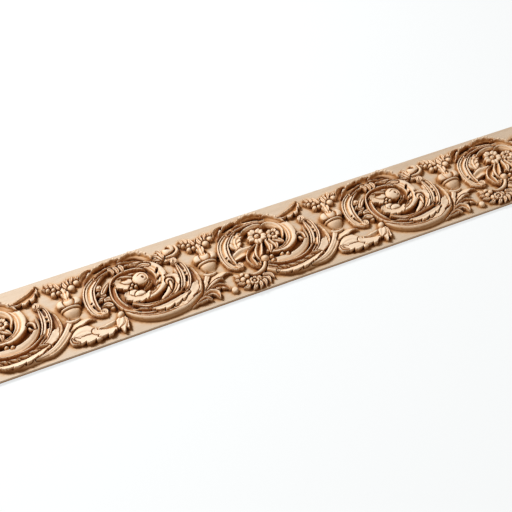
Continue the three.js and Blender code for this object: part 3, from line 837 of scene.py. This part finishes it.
def blend(kind, share, a, b):
    """Two colours blended by a share."""
    return add("ShaderNodeMix", {"data_type": "RGBA", "blend_type": kind}, _0=share, _6=a, _7=b).outputs[2]


place = add("ShaderNodeTexCoord").outputs["Object"]
rise = add("ShaderNodeSeparateXYZ", _0=place).outputs["Z"]
raised = add("ShaderNodeMapRange", _0=rise, _1=0.0042, _2=0.0095, _3=0.0, _4=1.0).outputs[0]
stretched = add("ShaderNodeMapping", _0=place, _3=(6.0, 90.0, 90.0)).outputs[0]
streaks = add("ShaderNodeTexNoise", Vector=stretched, Scale=1.6, Detail=6.0, Roughness=0.6, Distortion=0.4).outputs[0]
flecks_place = add("ShaderNodeMapping", _0=place, _3=(120.0, 1600.0, 1600.0)).outputs[0]
flecks = add("ShaderNodeTexNoise", Vector=flecks_place, Scale=1.0, Detail=3.0).outputs[0]
clouds = add("ShaderNodeTexNoise", Vector=place, Scale=14.0, Detail=3.0).outputs[0]
shut_by = add("ShaderNodeAttribute", {"attribute_name": "shut_in"}).outputs["Fac"]
# Painted shade: the wood's own pale colour in the open, turning brown and then nearly black as the carving shuts out
# more sky.
wood_and_painted_shade = ramp(
    shut_by,
    (0.0, (0.74, 0.635, 0.51, 1)),
    (0.13, (0.74, 0.56, 0.385, 1)),
    (0.28, (0.52, 0.28, 0.11, 1)),
    (0.43, (0.29, 0.105, 0.024, 1)),
    (0.64, (0.05, 0.01, 0.002, 1)),
)
grain = ramp(streaks, (0.3, (0.86, 0.8, 0.74, 1)), (0.7, (1.0, 1.0, 1.0, 1)))
patches = ramp(clouds, (0.3, (0.93, 0.9, 0.88, 1)), (0.7, (1.0, 1.0, 1.0, 1)))
pores = ramp(flecks, (0.34, (0.8, 0.72, 0.66, 1)), (0.44, (1.0, 1.0, 1.0, 1)))
# Painted highlight: by height alone, the raised carving is lighter and warmer than the low ground, which gets a
# cooler grey.
raised_painted_lighter = ramp(raised, (0.0, (0.77, 0.78, 0.79, 1)), (0.8, (1.0, 1.0, 1.0, 1)))
tinted = blend("MULTIPLY", 0.7, wood_and_painted_shade, grain)
tinted = blend("MULTIPLY", 1.0, tinted, raised_painted_lighter)
tinted = blend("MULTIPLY", 0.8, tinted, patches)
tinted = blend("MULTIPLY", 0.45, tinted, pores)
links.new(tinted, surface.inputs["Base Color"])
surface.inputs["Specular IOR Level"].default_value = 0.25
dullness = add("ShaderNodeMapRange", _0=streaks, _1=0.3, _2=0.7, _3=0.52, _4=0.68).outputs[0]
links.new(dullness, surface.inputs["Roughness"])
fine = add("ShaderNodeMath", {"operation": "ADD"}, _0=streaks, _1=flecks).outputs[0]
pricked = add("ShaderNodeBump", Strength=0.25, Distance=0.0002, Height=fine).outputs[0]
links.new(pricked, surface.inputs["Normal"])
mesh.materials.append(wood)

# A plain pale floor a hair under the strip's back, as in the photograph. It isn't part of the object.
bpy.ops.mesh.primitive_plane_add(size=60.0, location=(0, 0, -0.0004))
floor = bpy.context.object
floor.name = "floor"
paper = bpy.data.materials.new("pale_floor")
paper.use_nodes = True
matt = paper.node_tree.nodes["Principled BSDF"]
matt.inputs["Base Color"].default_value = (0.2, 0.21, 0.22, 1)
matt.inputs["Emission Color"].default_value = (0.95, 0.985, 1.0, 1)
matt.inputs["Emission Strength"].default_value = 0.75
matt.inputs["Roughness"].default_value = 0.9
matt.inputs["Specular IOR Level"].default_value = 0.1
floor.data.materials.append(paper)

# Soft studio light: a broad lamp behind and to the left, a weak warm one on the near side, and a dim warm room.
for name, spot, size, power, color in (
    ("key", (-1.05, 1.2, 1.6), 0.5, 77.0, (1.0, 0.99, 0.975)),
    ("fill", (0.5, -1.6, 1.3), 1.6, 3.0, (1.0, 0.88, 0.74)),
):
    lamp = bpy.data.lights.new(name, "AREA")
    lamp.size = size
    lamp.energy = power
    lamp.color = color
    holder = bpy.data.objects.new(name, lamp)
    holder.location = spot
    holder.rotation_euler = (-Vector(spot)).to_track_quat("-Z", "Y").to_euler()
    bpy.context.collection.objects.link(holder)
world = bpy.data.worlds.new("room")
world.use_nodes = True
world.node_tree.nodes["Background"].inputs["Color"].default_value = (1.0, 0.64, 0.36, 1)
world.node_tree.nodes["Background"].inputs["Strength"].default_value = 0.26
bpy.context.scene.world = world
bpy.context.scene.view_settings.view_transform = "Standard"

# The camera looks down on the strip from its near left. It was fitted to the strip's edges and its repeats.
lens = bpy.data.cameras.new("camera")
lens.lens = 70.3125
lens.sensor_width = 36.0
lens.clip_start = 0.01
camera = bpy.data.objects.new("camera", lens)
right = Vector((0.9118213, -0.41058729, 0.0))
up = Vector((0.31046748, 0.68947791, 0.65439297))
turn = Matrix((right, up, right.cross(up))).transposed()
camera.matrix_world = Matrix.Translation((-0.3663716, -0.7302170, 0.9173553)) @ turn.to_4x4()
bpy.context.collection.objects.link(camera)
bpy.context.scene.camera = camera
